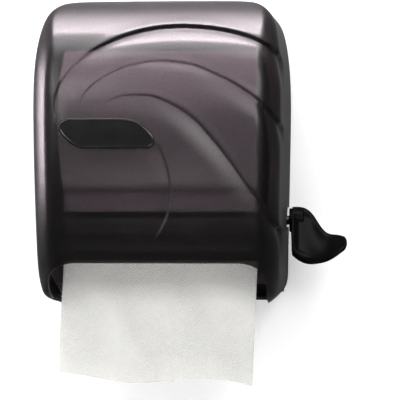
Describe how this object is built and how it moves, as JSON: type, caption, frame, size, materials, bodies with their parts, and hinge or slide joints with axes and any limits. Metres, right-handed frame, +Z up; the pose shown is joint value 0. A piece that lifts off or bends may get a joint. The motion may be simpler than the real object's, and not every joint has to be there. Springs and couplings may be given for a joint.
{
  "type": "paper towel dispenser",
  "caption": "Wall-mounted roll paper towel dispenser with a smoked translucent front cover, a side lever, a tear bar and a hanging towel.",
  "frame": {"origin": "centre of the back face, on the wall", "axes": "+Z up, +Y into the wall, +X to the right of someone facing the dispenser; the front faces -Y"},
  "size_m": [0.328, 0.2173, 0.4074],
  "materials": {
    "cover_smoke": "translucent smoked moulded plastic, polished outside",
    "plate_black": "glossy black plastic, bare",
    "chassis_black": "fine spark-textured black plastic",
    "frame_grey": "moulded warm grey plastic",
    "lever_black": "satin black plastic, worn smoother on its face",
    "acetal": "natural white acetal",
    "roller_grey": "dark grey moulded plastic",
    "grip_rubber": "black rubber, ground matt",
    "steel": "zinc-plated steel",
    "lock_metal": "plated lock barrel and cam",
    "blade_steel": "stainless steel strip",
    "towel_paper": "embossed off-white towel",
    "core_board": "spiral-wound grey-brown board"
  },
  "bodies": {
    "chassis": {"back_chassis": "chassis_black", "left_side_frame": "frame_grey", "right_side_frame": "frame_grey", "frame_screws": "steel", "roller_bushes": "acetal", "lever_bush": "acetal", "tear_bar": "blade_steel", "tear_bar_carrier": "chassis_black", "rear_guide": "frame_grey", "arm_pins": "steel", "idler_stud": "steel", "lever_stop": "grip_rubber", "return_spring": "steel", "latch_catch": "steel"},
    "cover": {"front_cover": "cover_smoke", "nameplate": "plate_black", "left_hinge_pin": "steel", "right_hinge_pin": "steel", "lock_nut": "lock_metal"},
    "lock": {"lock_barrel": "lock_metal", "lock_cam": "lock_metal"},
    "lever": {"lever_handle": "lever_black", "lever_shaft": "steel", "lever_gear": "acetal", "lever_screw": "steel", "lever_clip": "steel"},
    "idler": {"idler_gear": "acetal"},
    "feed_drive": {"feed_shaft": "steel", "feed_roller": "roller_grey", "grip_rings": "grip_rubber", "feed_gear": "acetal", "one_way_clutch": "steel", "feed_clips": "steel"},
    "pressure_frame": {"pressure_bail": "roller_grey"},
    "pinch_roller": {"pinch_shaft": "steel", "pinch_sleeves": "acetal"},
    "towel": {"towel_tail": "towel_paper"},
    "roll": {"paper_roll": "towel_paper", "roll_core": "core_board"},
    "left_arm": {"left_roll_arm": "frame_grey"},
    "right_arm": {"right_roll_arm": "frame_grey"}
  },
  "joints": [
    {"name": "cover_hinge", "type": "hinge", "parent": "chassis", "child": "cover", "pos_m": [0, -0.02, -0.146], "axis": [1, 0, 0], "range_deg": [0, 90]},
    {"name": "lock_turn", "type": "hinge", "parent": "cover", "child": "lock", "pos_m": [0, -0.04, 0.15], "axis": [0, 0, 1], "range_deg": [0, 90]},
    {"name": "lever_turn", "type": "hinge", "parent": "chassis", "child": "lever", "pos_m": [0.12, -0.045, -0.074], "axis": [1, 0, 0], "range_deg": [0, 45], "stiffness_Nm_per_rad": 0.3, "springref_deg": -20.05},
    {"name": "idler_turn", "type": "hinge", "parent": "chassis", "child": "idler", "pos_m": [0.121, -0.09892, -0.07689], "axis": [1, 0, 0], "range_deg": [-90, 0]},
    {"name": "feed_turn", "type": "hinge", "parent": "chassis", "child": "feed_drive", "pos_m": [0, -0.118, -0.096], "axis": [1, 0, 0], "range_deg": [0, 180]},
    {"name": "pressure_swing", "type": "hinge", "parent": "chassis", "child": "pressure_frame", "pos_m": [0, -0.152, -0.068], "axis": [1, 0, 0], "range_deg": [-12, 0], "stiffness_Nm_per_rad": 0.6, "springref_deg": 11.46},
    {"name": "pinch_turn", "type": "hinge", "parent": "pressure_frame", "child": "pinch_roller", "pos_m": [0, -0.1449, -0.096], "axis": [1, 0, 0], "range_deg": [-340, 0]},
    {"name": "towel_feed", "type": "slide", "parent": "chassis", "child": "towel", "axis": [0, 0, -1], "range_m": [0, 0.0535]},
    {"name": "roll_turn", "type": "hinge", "parent": "chassis", "child": "roll", "pos_m": [0, -0.104, 0.028], "axis": [1, 0, 0], "continuous": true},
    {"name": "left_arm_swing", "type": "hinge", "parent": "chassis", "child": "left_arm", "pos_m": [-0.104, -0.012, 0.028], "axis": [0, 0, -1], "range_deg": [0, 8], "stiffness_Nm_per_rad": 0.8, "springref_deg": -5.73},
    {"name": "right_arm_swing", "type": "hinge", "parent": "chassis", "child": "right_arm", "pos_m": [0.104, -0.012, 0.028], "axis": [0, 0, 1], "range_deg": [0, 8], "stiffness_Nm_per_rad": 0.8, "springref_deg": -5.73}
  ],
  "couplings": [
    {"joint": "idler_turn", "follows": "lever_turn", "ratio": -2},
    {"joint": "feed_turn", "follows": "lever_turn", "ratio": 4},
    {"joint": "pinch_turn", "follows": "lever_turn", "ratio": -7.5556},
    {"joint": "towel_feed", "follows": "lever_turn", "m_per_rad": 0.068}
  ]
}
